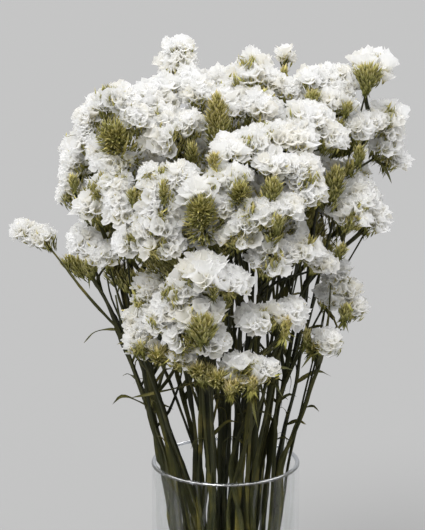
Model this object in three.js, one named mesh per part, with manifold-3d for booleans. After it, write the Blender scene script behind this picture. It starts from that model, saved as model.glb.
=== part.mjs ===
// Dried white statice, a bunch of cut stems standing in a clear glass cylinder vase.
// Millimetres, +Z up, front towards -Y, origin at the centre of the vase's foot.
import * as THREE from 'three';
import { ConvexGeometry } from 'three/addons/geometries/ConvexGeometry.js';
import { mergeVertices } from 'three/addons/utils/BufferGeometryUtils.js';
import Module from 'manifold-3d';

const wasm = await Module();
wasm.setup();

// ---------------------------------------------------------------- driving dimensions

const VASE = { radius: 50, height: 200, wall: 3, floor: 8, bevel: 1.2, sides: 32 };
const AIR = 0.35; // left between two pieces that touch
const HEART_Z = 262; // the height on the axis that every head faces away from
const NECK_LIMIT = 41; // how far from the axis a stem may stand inside the glass
const STEM = { foot: 1.7, top: 1.3, sides: 4, wide: 1.3, turn: 0.35, steps: 4, footDraw: 0.22, meetZ: 40 };
const BRANCH = { radius: 1.1, flare: 1.3, sides: 3, bow: 5, step: 9, lowest: 0.9 };
const HUB = { drawX: 0.64, drawY: 0.5, drop: 56 }; // where a stem starts to branch
const FLORET = { mouth: 22.5, pit: 0.36, sunk: 0.34, wave: 1.2, backMost: -0.2, jitter: 0.5 };
const HEAD = { plump: 1.14, core: 0.4, leastFlorets: 7, swell: 1.5 };
const BRACT = { tips: 8, core: 0.6, uneven: 0.2, pole: [0, -0.3, 1] };
const SLIVER = 0.2; // the least size of a triangle worth keeping
const CLEAR = 0.9; // least air between two stems or branches while they are laid out
const RELAX = { bead: 5, push: 0.3, stemRounds: 60, branchRounds: 40 }; // how they are moved apart
const NEARBY = 1.4; // blobs further apart than this share of their reach need no fence
const LEAF = { thick: 1.1, wide: 3.4, tip: 0.6 };

// One row per cut stem. A head is a bunch of lobes that hold together, and a lobe or a
// bare cone of bracts is [x, y, z, half width, half height]. The stems that stand apart from
// the rest have a neck, where they pass the vase's mouth, and a hub, where they branch.
const SPRAYS = [
  {
    name: 'top_left',
    heads: [[
      [-30, 0, 480, 13, 9], [-31, -7, 463, 14, 13], [-44, -22, 447, 16, 14],
      [-38, -40, 428, 17, 14], [-18, -26, 453, 12, 12], [-23, -42, 436, 11, 13],
    ]],
    cones: [[-22, -51, 421, 6, 8]],
  },
  {
    name: 'left_rosette',
    neck: [-41, 1],
    hub: [-64, -6, 335],
    heads: [[
      [-69, -30, 453, 14, 10], [-87, -22, 438, 11, 11], [-89, -26, 423, 11, 11],
      [-57, -40, 440, 12, 12], [-72, -44, 413, 13, 9],
    ]],
    cones: [[-71, -45, 429, 10, 11]],
  },
  {
    name: 'top_middle',
    heads: [
      [[0, -20, 441, 17, 19], [17, -9, 463, 15, 15], [23, -30, 446, 14, 13], [40, -12, 453, 12, 10]],
      [[39, 8, 473, 8, 9]],
    ],
    cones: [[-6, -46, 443, 9, 16], [38, 2, 463, 4, 6]],
  },
  {
    name: 'top_right',
    heads: [[[57, -12, 461, 13, 11], [74, -8, 460, 13, 12], [68, -24, 447, 13, 10]]],
    cones: [[55, -33, 454, 7, 5], [77, -31, 446, 6, 5]],
  },
  {
    name: 'far_right',
    heads: [
      [[93, -4, 468, 16, 13]],
      [
        [102, -8, 435, 15, 12], [84, -22, 430, 13, 12], [103, -5, 416, 14, 11],
        [110, 1, 405, 12, 8],
      ],
    ],
    cones: [[90, -25, 464, 12, 11], [85, -34, 417, 6, 6]],
  },
  {
    name: 'upper_front',
    heads: [[
      [50, -42, 443, 15, 12], [45, -57, 429, 14, 11], [66, -48, 429, 13, 11],
      [24, -58, 432, 14, 11], [3, -68, 425, 15, 11],
    ]],
    cones: [[-8, -82, 422, 6, 6]],
  },
  {
    name: 'left_side',
    neck: [-36, -18],
    hub: [-62, -24, 312],
    heads: [
      [[-96, -15, 408, 12, 12], [-101, -12, 387, 13, 13]],
      [[-71, -54, 403, 14, 11], [-84, -49, 386, 15, 13], [-65, -65, 386, 13, 13]],
    ],
    cones: [[-98, -31, 398, 5, 6], [-58, -74, 398, 6, 6]],
  },
  {
    name: 'left_front',
    heads: [[
      [-46, -70, 408, 12, 12], [-29, -76, 408, 12, 13], [-41, -80, 389, 15, 13],
      [-57, -73, 369, 14, 13], [-38, -84, 369, 15, 12],
    ]],
    cones: [[-39, -91, 404, 5, 9]],
  },
  {
    name: 'mid_front',
    heads: [[[-15, -84, 403, 17, 11], [-2, -90, 394, 9, 10], [2, -78, 411, 15, 10]]],
    cones: [[-16, -101, 394, 9, 10], [8, -95, 404, 7, 8]],
  },
  {
    name: 'right_front',
    heads: [[[28, -74, 416, 13, 10], [46, -70, 415, 13, 10], [49, -74, 399, 15, 12]]],
    cones: [[28, -90, 406, 8, 8]],
  },
  {
    name: 'middle',
    heads: [
      [[17, -92, 389, 14, 11], [34, -86, 393, 13, 11], [6, -92, 376, 14, 11]],
      [[26, -84, 360, 15, 15], [47, -75, 365, 14, 11], [59, -64, 353, 11, 10]],
    ],
    cones: [[31, -101, 387, 6, 6]],
  },
  {
    name: 'right_side',
    heads: [[[84, -26, 390, 13, 13], [79, -41, 377, 14, 12], [95, -25, 373, 13, 13]]],
    cones: [[69, -50, 402, 8, 12], [73, -52, 358, 6, 5]],
  },
  {
    name: 'right_lower',
    neck: [40, -9],
    hub: [58, -20, 266],
    heads: [
      [[72, -30, 337, 11, 12], [82, -28, 314, 12, 11], [66, -33, 322, 11, 10]],
      [[64, -55, 298, 12, 11]],
    ],
    cones: [[77, -44, 315, 6, 6], [51, -62, 303, 5, 6]],
  },
  {
    name: 'far_left',
    neck: [-40, -9],
    hub: [-68, -12, 290],
    heads: [
      [[-133, -1, 360, 10, 9], [-120, -4, 355, 12, 9]],
      [[-91, -35, 359, 13, 11], [-77, -45, 353, 12, 11]],
    ],
    cones: [[-87, -47, 346, 6, 8]],
  },
  {
    name: 'centre_dome',
    heads: [[
      [-15, -101, 356, 18, 13], [2, -98, 348, 14, 12], [-30, -94, 338, 14, 13], [-41, -89, 322, 12, 11],
    ]],
    cones: [[-8, -114, 347, 5, 6]],
  },
  {
    name: 'centre_low',
    heads: [[
      [-17, -96, 329, 19, 12], [-27, -95, 313, 12, 11], [-9, -98, 311, 13, 11], [-29, -91, 297, 10, 10],
    ]],
    cones: [[-15, -115, 324, 11, 10], [-14, -96, 289, 9, 7]],
  },
  {
    name: 'left_low',
    neck: [-30, -27],
    hub: [-46, -36, 262],
    heads: [[[-48, -62, 334, 12, 12], [-54, -66, 316, 12, 11], [-54, -73, 301, 12, 10]]],
    cones: [[-54, -84, 303, 5, 5]],
  },
  {
    name: 'right_low',
    heads: [
      [[20, -84, 322, 15, 11], [40, -76, 323, 13, 11]],
      [[9, -94, 293, 14, 11], [22, -91, 289, 11, 10]],
    ],
    cones: [[37, -90, 317, 5, 9], [2, -106, 283, 6, 6], [16, -104, 285, 5, 6]],
  },
  {
    name: 'back_top',
    heads: [[[-12, 24, 446, 18, 14], [15, 28, 455, 17, 15], [4, 48, 438, 18, 15]]],
    cones: [],
  },
  {
    name: 'back_left',
    neck: [-38, 12],
    hub: [-64, 16, 330],
    heads: [[[-80, 30, 428, 18, 16], [-95, 28, 404, 16, 15], [-84, 54, 402, 17, 16]]],
    cones: [[-90, 62, 422, 7, 8]],
  },
  {
    name: 'back_right',
    heads: [[[66, 36, 440, 18, 16], [86, 28, 420, 16, 16], [80, 56, 412, 17, 16]]],
    cones: [[84, 66, 432, 7, 8]],
  },
  {
    name: 'back_middle',
    heads: [[[-22, 80, 412, 19, 16], [8, 86, 408, 18, 16], [34, 76, 418, 18, 16]]],
    cones: [[-8, 104, 400, 7, 8]],
  },
  {
    name: 'back_low_left',
    neck: [-20, 24],
    hub: [-42, 37, 299],
    heads: [[[-70, 70, 370, 19, 17], [-84, 52, 350, 17, 15], [-46, 86, 354, 18, 17]]],
    cones: [[-64, 88, 346, 7, 8]],
  },
  {
    name: 'back_low_right',
    heads: [[[68, 74, 376, 19, 17], [82, 56, 356, 17, 15], [44, 88, 362, 18, 17]]],
    cones: [[62, 90, 352, 7, 8]],
  },
  {
    name: 'back_low',
    heads: [[[-8, 98, 364, 18, 16], [12, 98, 340, 17, 15], [-10, 92, 322, 16, 14]]],
    cones: [[0, 112, 330, 7, 7]],
  },
];

// Long leaves that curl away from the stems: the stem's name and the blade's own route.
const LEAVES = [
  { on: 'left_low', route: [[-16, -41, 268], [-36, -40, 262], [-50, -35, 257], [-62, -30, 253]] },
  { on: 'far_left', route: [[-50, -10, 240], [-60, -14, 247], [-69, -17, 250], [-75, -19, 245]] },
];

// ---------------------------------------------------------------- helpers

function seededRandom(seed) {
  let state = seed;
  return () => {
    state = (state + 0x6d2b79f5) | 0;
    let mixed = Math.imul(state ^ (state >>> 15), 1 | state);
    mixed = (mixed + Math.imul(mixed ^ (mixed >>> 7), 61 | mixed)) ^ mixed;
    return ((mixed ^ (mixed >>> 14)) >>> 0) / 4294967296;
  };
}

const vector = ([x, y, z]) => new THREE.Vector3(x, y, z);

function toSolid(geometry) {
  const bare = geometry.clone();
  bare.deleteAttribute('normal');
  bare.deleteAttribute('uv');
  const merged = mergeVertices(bare, 1e-4);
  const vertProperties = new Float32Array(merged.getAttribute('position').array);
  const triVerts = new Uint32Array(merged.index.array);
  return new wasm.Manifold(new wasm.Mesh({ numProp: 3, vertProperties, triVerts }));
}

function toGeometry(solid) {
  const mesh = solid.getMesh();
  const geometry = new THREE.BufferGeometry();
  geometry.setAttribute('position', new THREE.BufferAttribute(new Float32Array(mesh.vertProperties), 3));
  geometry.setIndex(new THREE.BufferAttribute(new Uint32Array(mesh.triVerts), 1));
  return geometry;
}

const join = (solids) => wasm.Manifold.union(solids);

// The largest body of a solid, once slivers are melted into their neighbours: loose
// scraps and sealed hollows are dropped.
function largestBody(solid) {
  const bodies = solid.simplify(SLIVER).decompose();
  return bodies.reduce((best, body) => (body.volume() > best.volume() ? body : best));
}

// Two directions square to a third one, so that (side, along, other) is right-handed.
function squareTo(along) {
  const helper = Math.abs(along.z) < 0.9 ? new THREE.Vector3(0, 0, 1) : new THREE.Vector3(1, 0, 0);
  const side = new THREE.Vector3().crossVectors(along, helper).normalize();
  return { side, other: new THREE.Vector3().crossVectors(side, along) };
}

// A closed tube along a route: a CylinderGeometry whose rings are moved onto its points.
// The first rings may lie level, the others stand square to the route.
function tube(route, radii, sides, { wide = 1, turn = 0, levels = 0, grow = 0 } = {}) {
  const rings = route.length - 1;
  const geometry = new THREE.CylinderGeometry(1, 1, rings, sides, rings);
  const spot = geometry.getAttribute('position');
  const whole = route[rings].clone().sub(route[0]).normalize();
  const first = levels ? new THREE.Vector3(1, 0, 0) : squareTo(whole).side;
  for (let i = 0; i < spot.count; i += 1) {
    const ring = Math.round(spot.getY(i) + rings / 2);
    const before = route[Math.max(ring - 1, 0)];
    const after = route[Math.min(ring + 1, rings)];
    const along = ring < levels ? new THREE.Vector3(0, 0, 1) : after.clone().sub(before).normalize();
    const side = first.clone().addScaledVector(along, -first.dot(along)).normalize();
    const other = new THREE.Vector3().crossVectors(side, along);
    const across = spot.getX(i) * (radii[ring] * wide + grow);
    const deep = spot.getZ(i) * (radii[ring] / wide + grow);
    const angle = turn * ring;
    const end = (ring === rings) - (ring === 0);
    const point = route[ring].clone()
      .addScaledVector(side, across * Math.cos(angle) - deep * Math.sin(angle))
      .addScaledVector(other, across * Math.sin(angle) + deep * Math.cos(angle))
      .addScaledVector(along, grow * end);
    spot.setXYZ(i, point.x, point.y, point.z);
  }
  return toSolid(geometry);
}

// ---------------------------------------------------------------- lobes and cones

function makeBlob(row, spray, head) {
  const [x, y, z] = row;
  const [width, height] = row.slice(3).map((half) => half * (head === 'cone' ? 1 : HEAD.plump));
  return {
    centre: new THREE.Vector3(x, y, z),
    size: new THREE.Vector3(width, width, height),
    facing: new THREE.Vector3(x, y, z - HEART_Z).normalize(),
    reach: (2 * width + height) / 3,
    spray,
    head,
  };
}

// The planes that keep a blob on its own side of each rival near it.
function fencesOf(blob, rivals) {
  const near = rivals.filter((rival) => (
    rival.centre.distanceTo(blob.centre) < NEARBY * (rival.reach + blob.reach) + AIR));
  return near.map((rival) => {
    const normal = rival.centre.clone().sub(blob.centre);
    const share = blob.reach / (blob.reach + rival.reach);
    const limit = blob.centre.dot(normal.clone().normalize()) + normal.length() * share - AIR;
    return { normal: normal.normalize(), limit };
  });
}

// How far along a ray the fenced blob is left again, or 0 where the ray misses it.
function exitOf(blob, from, direction, swell) {
  const start = from.clone().sub(blob.centre).divide(blob.size).divideScalar(swell);
  const step = direction.clone().divide(blob.size).divideScalar(swell);
  const a = step.dot(step);
  const b = start.dot(step);
  const root = b * b - a * (start.dot(start) - 1);
  if (root <= 0) return 0;
  let enter = (-b - Math.sqrt(root)) / a;
  let leave = (-b + Math.sqrt(root)) / a;
  blob.fences.forEach(({ normal, limit }) => {
    const speed = direction.dot(normal);
    const cross = (limit - from.dot(normal)) / speed;
    if (speed > 0) leave = Math.min(leave, cross);
    else enter = Math.max(enter, cross);
  });
  return leave > Math.max(enter, 0) ? leave : 0;
}

// Directions spread evenly over a sphere by the golden angle, from one pole to the other.
function spreadDirections(count, pole, random, jitter) {
  const { side, other } = squareTo(pole);
  const start = random() * 2 * Math.PI;
  const golden = Math.PI * (3 - Math.sqrt(5));
  return Array.from({ length: count }, (_, i) => {
    const height = 1 - (2 * i + 1) / count;
    const radius = Math.sqrt(1 - height * height);
    const angle = start + golden * i + (random() - 0.5) * jitter;
    return pole.clone().multiplyScalar(height)
      .addScaledVector(side, radius * Math.cos(angle))
      .addScaledVector(other, radius * Math.sin(angle));
  });
}

// Each direction's own cell of the sphere, as the corners in order round it.
function cellsOf(directions) {
  const hull = new ConvexGeometry(directions).getAttribute('position');
  const rings = directions.map(() => []);
  const corners = [];
  for (let face = 0; face < hull.count; face += 3) {
    const tips = [0, 1, 2].map((k) => new THREE.Vector3().fromBufferAttribute(hull, face + k));
    tips.forEach((tip) => {
      rings[directions.findIndex((direction) => direction.distanceTo(tip) < 1e-4)].push(corners.length);
    });
    corners.push(new THREE.Triangle(...tips).getNormal(new THREE.Vector3()));
  }
  directions.forEach((direction, i) => {
    const { side, other } = squareTo(direction);
    const bearing = (k) => Math.atan2(corners[k].dot(side), corners[k].dot(other));
    rings[i].sort((a, b) => bearing(a) - bearing(b));
  });
  return { rings, corners };
}

function middleOf(blobs) {
  const middle = new THREE.Vector3();
  blobs.forEach((blob) => middle.addScaledVector(blob.centre, 1 / blobs.length));
  return middle;
}

// The point of a fenced blob's surface in a direction, drawn in or raised along the ray.
function surfacePoint(blob, direction, lift) {
  const ray = direction.clone().multiply(blob.size);
  const full = ray.length();
  ray.divideScalar(full);
  const reach = Math.min(full + lift, exitOf(blob, blob.centre, ray, HEAD.swell));
  return blob.centre.clone().addScaledVector(ray, Math.max(reach, blob.reach * HEAD.core));
}

// The direction in a blob's own unit sphere that leads to a point.
const towards = (blob, point) => point.clone().sub(blob.centre).divide(blob.size).normalize();

// Turns the nearest of the directions to face a point, and says which it was.
function aimAt(directions, taken, blob, point) {
  const aim = towards(blob, point);
  const free = directions.map((_, i) => i).filter((i) => !taken.includes(i));
  const nearest = free.reduce((best, i) => (directions[i].dot(aim) > directions[best].dot(aim) ? i : best));
  directions[nearest] = aim;
  return nearest;
}

// A lobe of florets: round every cell the shared corners are pits and the middle of each
// shared edge is a raised rim, with the floret's throat sunk in the middle. Cells at the
// back stay plain, and so do those that face a linked lobe. The one that faces the parent
// lobe runs out to a point at the parent's centre, which holds the head together.
function floretLobe(blob, seed) {
  const random = seededRandom(seed);
  const wholeSphere = Math.round((4 * blob.reach / FLORET.mouth) ** 2);
  const count = Math.max(HEAD.leastFlorets, wholeSphere);
  const directions = spreadDirections(count, blob.facing, random, FLORET.jitter);
  const aimed = [];
  blob.links.forEach((linked) => aimed.push(aimAt(directions, aimed, blob, linked.centre)));
  const { rings, corners } = cellsOf(directions);
  const isCup = (direction, i) => direction.dot(blob.facing) > FLORET.backMost && !aimed.includes(i);
  const cups = directions.map(isCup);
  const points = corners.map((corner) => surfacePoint(blob, corner, -FLORET.pit * blob.reach));
  const put = (direction, lift) => points.push(surfacePoint(blob, direction, lift)) - 1;
  const rims = new Map();
  const edgeKey = (a, b) => `${Math.min(a, b)} ${Math.max(a, b)}`;
  rings.forEach((ring, i) => ring.forEach((a, k) => {
    const b = ring[(k + 1) % ring.length];
    if (!cups[i] || rims.has(edgeKey(a, b))) return;
    const between = corners[a].clone().add(corners[b]).normalize();
    rims.set(edgeKey(a, b), put(between, (2 * random() - 1) * FLORET.wave));
  }));
  const faces = [];
  rings.forEach((ring, i) => {
    const reachesParent = blob.parent && i === aimed[0];
    const middle = reachesParent
      ? points.push(blob.parent.centre) - 1
      : put(directions[i], -(cups[i] ? FLORET.sunk : FLORET.pit) * blob.reach);
    const round = ring.flatMap((a, k) => {
      const rim = rims.get(edgeKey(a, ring[(k + 1) % ring.length]));
      return rim === undefined ? [a] : [a, rim];
    });
    round.forEach((a, k) => faces.push(a, round[(k + 1) % round.length], middle));
  });
  const geometry = new THREE.BufferGeometry().setFromPoints(points);
  geometry.setIndex(faces);
  return toSolid(geometry);
}

// Every lobe but a head's first is linked to the nearest of those before it.
function linkLobes(lobes) {
  lobes.forEach((lobe) => { lobe.links = []; });
  lobes.slice(1).forEach((lobe, k) => {
    const before = lobes.slice(0, k + 1);
    const distance = (other) => other.centre.distanceTo(lobe.centre);
    lobe.parent = before.reduce((best, other) => (distance(other) < distance(best) ? other : best));
    lobe.links.unshift(lobe.parent);
    lobe.parent.links.push(lobe);
  });
}

const floretHead = (lobes, seed) => join(lobes.map((lobe, k) => floretLobe(lobe, seed + k)));

// A cone of bare bracts: every cell is raised to a tip.
function coneShape(blob, seed, grow) {
  const random = seededRandom(seed);
  const directions = spreadDirections(BRACT.tips, vector(BRACT.pole).normalize(), random, 0);
  const { rings, corners } = cellsOf(directions);
  const inBlob = (direction, share) => {
    const tip = surfacePoint(blob, direction, 0).sub(blob.centre);
    return tip.setLength(tip.length() * share + grow).add(blob.centre);
  };
  const points = corners.map((corner) => inBlob(corner, BRACT.core));
  const faces = [];
  rings.forEach((ring, i) => {
    points.push(inBlob(directions[i], 1 - BRACT.uneven * random()));
    ring.forEach((a, k) => faces.push(a, ring[(k + 1) % ring.length], points.length - 1));
  });
  return { points, faces };
}

function bractCone(blob, seed) {
  const { points, faces } = coneShape(blob, seed, 0);
  const geometry = new THREE.BufferGeometry().setFromPoints(points);
  geometry.setIndex(faces);
  return toSolid(geometry);
}

// The room a cone takes up in a head: the hull of its grown tips.
const coneRoom = (blob, seed) => toSolid(new ConvexGeometry(coneShape(blob, seed, 3 * AIR).points));

// ---------------------------------------------------------------- stems and branches

// A strand's points, each with the directions it may be moved in.
const knot = (point, freedom) => ({ point, freedom: vector(freedom) });

function layOutSpray(row, index) {
  const blobs = [];
  row.heads.forEach((lobes, head) => lobes.forEach((lobe) => blobs.push(makeBlob(lobe, index, head))));
  row.cones.forEach((cone) => blobs.push(makeBlob(cone, index, 'cone')));
  const middle = middleOf(blobs);
  const hub = row.hub ? vector(row.hub)
    : new THREE.Vector3(middle.x * HUB.drawX, middle.y * HUB.drawY, middle.z - HUB.drop);
  const cones = blobs.filter((blob) => blob.head === 'cone');
  const heads = row.heads.map((_, head) => blobs.filter((blob) => blob.head === head));
  heads.forEach(linkLobes);
  const seats = heads.map((lobes) => seatOf(lobes, hub));
  const [first, ...ends] = [...seats, ...cones.map(({ centre }) => centre)];
  const stem = stemStrand(row.neck, hub, first, index);
  return { row, index, blobs, cones, heads, stem, ends };
}

// Where a branch enters a head: the near side of the lobe that is nearest to the hub.
function seatOf(lobes, hub) {
  const distance = ({ centre }) => centre.distanceTo(hub);
  const nearest = lobes.reduce((best, lobe) => (distance(lobe) < distance(best) ? lobe : best));
  return nearest.centre.clone().lerp(hub, (HEAD.core * nearest.reach) / distance(nearest));
}

// The raised middle of a branch.
const bendOf = (from, end) => from.clone().lerp(end, 0.5).add(new THREE.Vector3(0, 0, BRANCH.bow));

// Branches leave the stem one after another, the lowest a few steps below the hub.
function branchesOf({ stem, ends, index }) {
  const below = stem.knots[stem.hubKnot - 1];
  const hub = stem.knots[stem.hubKnot];
  const length = hub.point.distanceTo(below.point);
  return ends.map((end, k) => {
    const from = hub.point.clone().lerp(below.point, Math.min((k * BRANCH.step) / length, BRANCH.lowest));
    const knots = [knot(from, [0, 0, 0]), knot(bendOf(from, end), [1, 1, 1]), knot(end, [0, 0, 0])];
    return { spray: index, knots, radius: BRANCH.radius };
  });
}

// A stem from the vase's floor through its neck and the hub to its first head, with a
// knot at every level.
function stemStrand(chosenNeck, hub, end, spray) {
  const floor = VASE.floor + AIR;
  const step = (VASE.height - floor) / STEM.steps;
  const share = (VASE.height - STEM.meetZ) / (hub.z - STEM.meetZ);
  const neck = vector([...(chosenNeck ?? [hub.x * share, hub.y * share]), VASE.height]);
  const outness = Math.hypot(neck.x, neck.y);
  if (outness > NECK_LIMIT) neck.multiply(vector([NECK_LIMIT / outness, NECK_LIMIT / outness, 1]));
  const knots = [];
  for (let k = 0; k <= STEM.steps; k += 1) {
    const draw = THREE.MathUtils.lerp(STEM.footDraw, 1, k / STEM.steps);
    knots.push(knot(new THREE.Vector3(neck.x * draw, neck.y * draw, floor + step * k), [1, 1, 0]));
  }
  const rings = Math.max(1, Math.round((hub.z - VASE.height) / step));
  for (let k = 1; k <= rings; k += 1) {
    knots.push(knot(neck.clone().lerp(hub, k / rings), [1, 1, 0]));
  }
  const hubKnot = knots.length - 1;
  knots.push(knot(bendOf(hub, end), [1, 1, 0]), knot(end, [0, 0, 0]));
  return { spray, knots, hubKnot, radius: STEM.foot * STEM.wide };
}

// Moves the knots until strands of different sprays leave air between them.
function relaxStrands(strands, rounds) {
  for (let round = 0; round < rounds; round += 1) {
    const beads = strands.flatMap(beadsOf);
    for (let i = 0; i < beads.length; i += 1) {
      for (let j = i + 1; j < beads.length; j += 1) {
        if (beads[i].strand.spray !== beads[j].strand.spray) pushApart(beads[i], beads[j]);
      }
    }
    strands.forEach((strand) => strand.knots.forEach(keepInNeck));
  }
}

function beadsOf(strand) {
  const beads = [];
  for (let k = 0; k + 1 < strand.knots.length; k += 1) {
    const [a, b] = [strand.knots[k], strand.knots[k + 1]];
    const parts = Math.ceil(a.point.distanceTo(b.point) / RELAX.bead);
    for (let m = 0; m <= parts; m += 1) {
      const share = m / parts;
      beads.push({ strand, a, b, share, at: a.point.clone().lerp(b.point, share) });
    }
  }
  return beads;
}

function pushApart(one, two) {
  const need = one.strand.radius + two.strand.radius + CLEAR;
  if (one.at.distanceToSquared(two.at) >= need * need) return;
  const away = one.at.clone().sub(two.at);
  const near = away.length();
  if (near < 1e-3) away.set(1, 0, 0);
  away.setLength(RELAX.push * (need - near));
  [[one, 1], [two, -1]].filter(([bead]) => !bead.strand.held).forEach(([bead, sign]) => {
    bead.a.point.addScaledVector(away.clone().multiply(bead.a.freedom), sign * (1 - bead.share));
    bead.b.point.addScaledVector(away.clone().multiply(bead.b.freedom), sign * bead.share);
  });
}

function keepInNeck({ point }) {
  const outness = Math.hypot(point.x, point.y);
  if (point.z > VASE.height + 1 || outness <= NECK_LIMIT) return;
  point.x *= NECK_LIMIT / outness;
  point.y *= NECK_LIMIT / outness;
}

const routeOf = (strand) => strand.knots.map(({ point }) => point);

function stemSolid(strand, grow) {
  const route = routeOf(strand);
  const radii = route.map((_, k) => THREE.MathUtils.lerp(STEM.foot, STEM.top, k / (route.length - 1)));
  const turn = STEM.turn * (strand.spray % 2 ? 1 : -1);
  return tube(route, radii, STEM.sides, { wide: STEM.wide, turn, levels: strand.hubKnot + 1, grow });
}

function branchSolid(strand, grow) {
  const radii = [BRANCH.radius * BRANCH.flare, BRANCH.radius, BRANCH.radius];
  return tube(routeOf(strand), radii, BRANCH.sides, { grow });
}

function leafSolid(leaf) {
  const route = leaf.route.map(vector);
  const half = LEAF.thick / 2;
  const wide = Math.sqrt(LEAF.wide / LEAF.thick);
  const radii = route.map((_, k) => half * wide * (k === route.length - 1 ? LEAF.tip : 1));
  return tube(route, radii, STEM.sides, { wide });
}

// ---------------------------------------------------------------- the bunch

function strandSolids({ stem, branches }, grow) {
  return [stemSolid(stem, grow), ...branches.map((branch) => branchSolid(branch, grow))];
}

// A cone may stand among the lobes of its own spray.
function keepsOff(blob, other) {
  const withCone = blob.head === 'cone' || other.head === 'cone';
  return other !== blob && !(other.spray === blob.spray && withCone);
}

function layOutBunch() {
  const sprays = SPRAYS.map(layOutSpray);
  const blobs = sprays.flatMap((spray) => spray.blobs);
  blobs.forEach((blob) => {
    blob.fences = fencesOf(blob, blobs.filter((other) => keepsOff(blob, other)));
  });
  relaxStrands(sprays.map(({ stem }) => stem), RELAX.stemRounds);
  const branched = sprays.map((spray) => ({ ...spray, branches: branchesOf(spray) }));
  const strands = branched.flatMap(({ stem, branches }) => [...branches, { ...stem, held: true }]);
  relaxStrands(strands, RELAX.branchRounds);
  return branched;
}

function buildBunch() {
  const sprays = layOutBunch();
  const strandRooms = sprays.map((spray) => join(strandSolids(spray, 2 * AIR)));
  const coneSeed = (index, k) => 100 * index + k;
  const roomsOf = ({ cones, index }) => cones.map((cone, k) => coneRoom(cone, coneSeed(index, k)));
  const taken = join([...strandRooms, ...sprays.flatMap(roomsOf)]);
  const pieces = [];
  sprays.forEach((spray, index) => {
    const otherStrands = join(strandRooms.filter((_, other) => other !== index));
    const cones = spray.cones.map((cone, k) => bractCone(cone, coneSeed(index, k)).subtract(otherStrands));
    const leaves = LEAVES.filter((leaf) => leaf.on === spray.row.name).map(leafSolid);
    const green = largestBody(join([...strandSolids(spray, 0), ...cones, ...leaves]));
    pieces.push({ name: `stem_${spray.row.name}`, look: STEM_GREEN, solid: green });
    spray.heads.forEach((lobes, head) => {
      const suffix = spray.heads.length > 1 ? `_${head + 1}` : '';
      const solid = largestBody(floretHead(lobes, 1000 * (index + 1) + 10 * head).subtract(taken));
      pieces.push({ name: `blooms_${spray.row.name}${suffix}`, look: CALYX_WHITE, solid });
    });
  });
  return pieces;
}

// ---------------------------------------------------------------- the vase

function vaseGeometry() {
  const { radius, height, wall, floor, bevel, sides } = VASE;
  const inner = radius - wall;
  const profile = [
    [0, 0], [radius - bevel, 0], [radius, bevel], [radius, height - bevel], [radius - bevel, height],
    [inner, height], [inner, floor], [0, floor],
  ];
  const points = profile.map(([across, up]) => new THREE.Vector2(across, up));
  return toGeometry(toSolid(new THREE.LatheGeometry(points, sides).rotateX(Math.PI / 2)));
}

// ---------------------------------------------------------------- the model

const GLASS = { color: 0xdfe5e4, roughness: 0.05, metalness: 0 };
const STEM_GREEN = { color: 0x5a5a2c, roughness: 0.85, metalness: 0 };
const CALYX_WHITE = { color: 0xf2f1ec, roughness: 0.8, metalness: 0 };

function addMesh(group, name, geometry, look) {
  const mesh = new THREE.Mesh(geometry, new THREE.MeshStandardMaterial(look));
  mesh.name = name;
  group.add(mesh);
}

const statice = new THREE.Group();
addMesh(statice, 'vase', vaseGeometry(), GLASS);
buildBunch().forEach(({ name, look, solid }) => addMesh(statice, name, toGeometry(solid), look));

export default statice;
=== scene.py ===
"""Dried white statice in a clear glass cylinder vase: the looks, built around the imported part.

Everything is in metres in the part's frame: +Z up, the front towards -Y, the origin at the
centre of the vase's foot. Heads, cones and leaves stand where their CAD solids stand, and the
stems follow the centre lines of the CAD stems.
"""
import math

import bpy
import numpy as np
from numpy.linalg import norm
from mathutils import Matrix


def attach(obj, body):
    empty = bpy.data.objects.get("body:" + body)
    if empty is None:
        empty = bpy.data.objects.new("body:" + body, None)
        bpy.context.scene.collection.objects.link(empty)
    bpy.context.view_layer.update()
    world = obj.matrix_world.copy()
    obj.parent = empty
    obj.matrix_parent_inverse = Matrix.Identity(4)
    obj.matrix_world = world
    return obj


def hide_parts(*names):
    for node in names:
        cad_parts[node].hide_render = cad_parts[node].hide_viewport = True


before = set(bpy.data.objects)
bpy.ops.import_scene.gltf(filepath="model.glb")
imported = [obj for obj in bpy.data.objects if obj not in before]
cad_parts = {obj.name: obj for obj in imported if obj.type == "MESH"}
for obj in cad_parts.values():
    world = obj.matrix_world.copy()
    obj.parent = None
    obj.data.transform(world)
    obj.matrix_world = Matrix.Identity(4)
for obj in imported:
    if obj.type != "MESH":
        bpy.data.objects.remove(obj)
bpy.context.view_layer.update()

# ---- driving dimensions

MM = 0.001
HEART = np.array([0.0, 0.0, 262.0]) * MM  # what every flower head faces away from
NEIGHBOURS = 60 * MM  # lobes with their middles this close may touch

VASE_RADIUS = 50 * MM
VASE_HEIGHT = 200 * MM
VASE_WALL = 3 * MM
VASE_FLOOR = 8 * MM
VASE_FOOT_ROUND = 1.2 * MM
VASE_FLOOR_ROUND = 2 * MM
VASE_SIDES = 128
RIM_FOOT = 198 * MM  # the rim's glass, tinted darker as painted shade, starts above this

# Calyx: a papery, pleated funnel. Its mouth is what shows.
CALYX_LENGTH = 10.0 * MM
CALYX_SPACING = 5.1 * MM
# Its wall from the throat to the rim: share of the length, radius.
CALYX_WALL = ((0.34, 1.5 * MM), (0.72, 3.9 * MM), (1.0, 5.5 * MM))
CALYX_PLEATS = 8
CALYX_SIDES = 2 * CALYX_PLEATS
CALYX_KINDS = 14
USUAL_LOBE = 13 * MM  # the half width of a lobe whose calyxes have the size above
CALYX_SCALES = (0.72, 1.1)  # the least and the most on smaller and larger lobes
RIM_OVERHANG = 2.6 * MM  # a lobe is drawn in by it, so that the calyxes' rims stand on the outline

BRACT_LENGTH = 6.4 * MM
BRACT_WIDTH = 1.15 * MM
CONE_BRACT_WIDTH = 1.5 * MM
BRACT_KINDS = 4
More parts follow.
